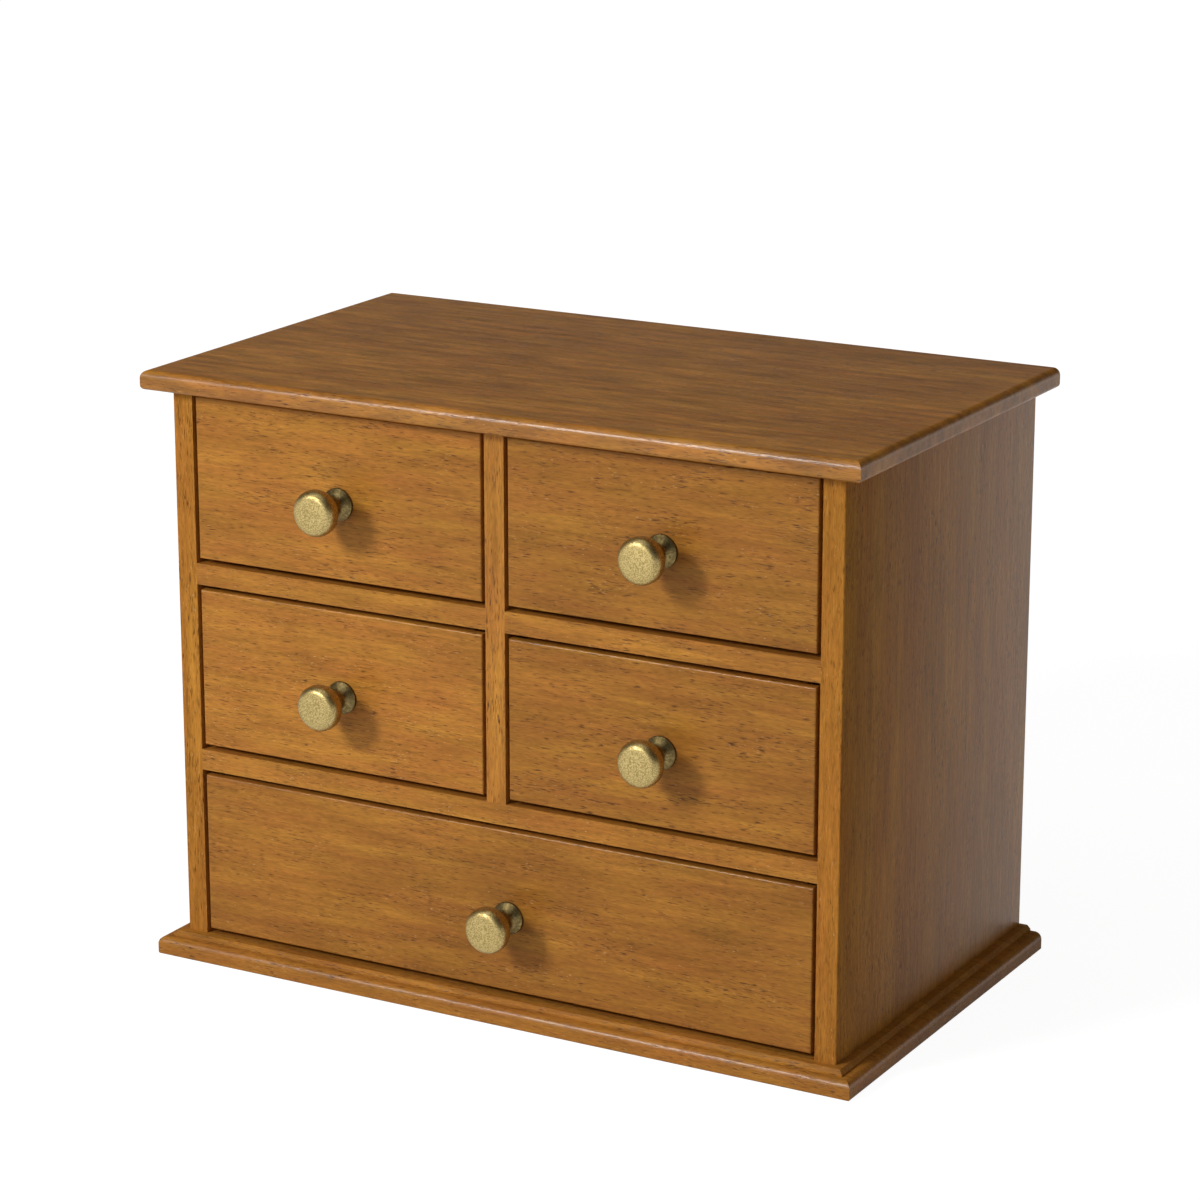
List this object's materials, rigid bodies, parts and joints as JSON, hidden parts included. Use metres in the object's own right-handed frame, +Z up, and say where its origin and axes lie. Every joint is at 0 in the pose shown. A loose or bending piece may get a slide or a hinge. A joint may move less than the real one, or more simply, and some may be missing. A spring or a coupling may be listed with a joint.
{
  "type": "desktop chest of drawers",
  "caption": "Small wooden desktop chest with two columns of small drawers above a full-width one, each with a turned brass knob, on a stepped and rounded base.",
  "frame": {"origin": "centre of the base board's flat underside", "axes": "+Z up; the drawers open towards -Y; +X to the right of a person facing the drawers"},
  "size_m": [0.4264, 0.262, 0.332],
  "materials": {
    "stained_wood": "honey-brown stained hardwood, semi-gloss lacquer",
    "drawer_wood": "planed softwood, clear sealed",
    "plywood": "thin sheet with a sanded veneer face",
    "knob_brass": "satin, lightly aged"
  },
  "bodies": {
    "case": {"top_board": "stained_wood", "base_board": "stained_wood", "side_panel_left": "stained_wood", "side_panel_right": "stained_wood", "upper_shelf_left": "stained_wood", "upper_shelf_right": "stained_wood", "lower_shelf": "stained_wood", "divider": "stained_wood", "back_panel": "plywood"},
    "upper_left_drawer": {"upper_left_front": "stained_wood", "upper_left_side_left": "drawer_wood", "upper_left_side_right": "drawer_wood", "upper_left_back": "drawer_wood", "upper_left_bottom": "plywood", "upper_left_knob": "knob_brass"},
    "upper_right_drawer": {"upper_right_front": "stained_wood", "upper_right_side_left": "drawer_wood", "upper_right_side_right": "drawer_wood", "upper_right_back": "drawer_wood", "upper_right_bottom": "plywood", "upper_right_knob": "knob_brass"},
    "middle_left_drawer": {"middle_left_front": "stained_wood", "middle_left_side_left": "drawer_wood", "middle_left_side_right": "drawer_wood", "middle_left_back": "drawer_wood", "middle_left_bottom": "plywood", "middle_left_knob": "knob_brass"},
    "middle_right_drawer": {"middle_right_front": "stained_wood", "middle_right_side_left": "drawer_wood", "middle_right_side_right": "drawer_wood", "middle_right_back": "drawer_wood", "middle_right_bottom": "plywood", "middle_right_knob": "knob_brass"},
    "lower_drawer": {"lower_front": "stained_wood", "lower_side_left": "drawer_wood", "lower_side_right": "drawer_wood", "lower_back": "drawer_wood", "lower_bottom": "plywood", "lower_knob": "knob_brass"}
  },
  "joints": [
    {"name": "upper_left_drawer_slide", "type": "slide", "parent": "case", "child": "upper_left_drawer", "axis": [0, -1, 0], "range_m": [0, 0.165]},
    {"name": "upper_right_drawer_slide", "type": "slide", "parent": "case", "child": "upper_right_drawer", "axis": [0, -1, 0], "range_m": [0, 0.165]},
    {"name": "middle_left_drawer_slide", "type": "slide", "parent": "case", "child": "middle_left_drawer", "axis": [0, -1, 0], "range_m": [0, 0.165]},
    {"name": "middle_right_drawer_slide", "type": "slide", "parent": "case", "child": "middle_right_drawer", "axis": [0, -1, 0], "range_m": [0, 0.165]},
    {"name": "lower_drawer_slide", "type": "slide", "parent": "case", "child": "lower_drawer", "axis": [0, -1, 0], "range_m": [0, 0.165]}
  ]
}
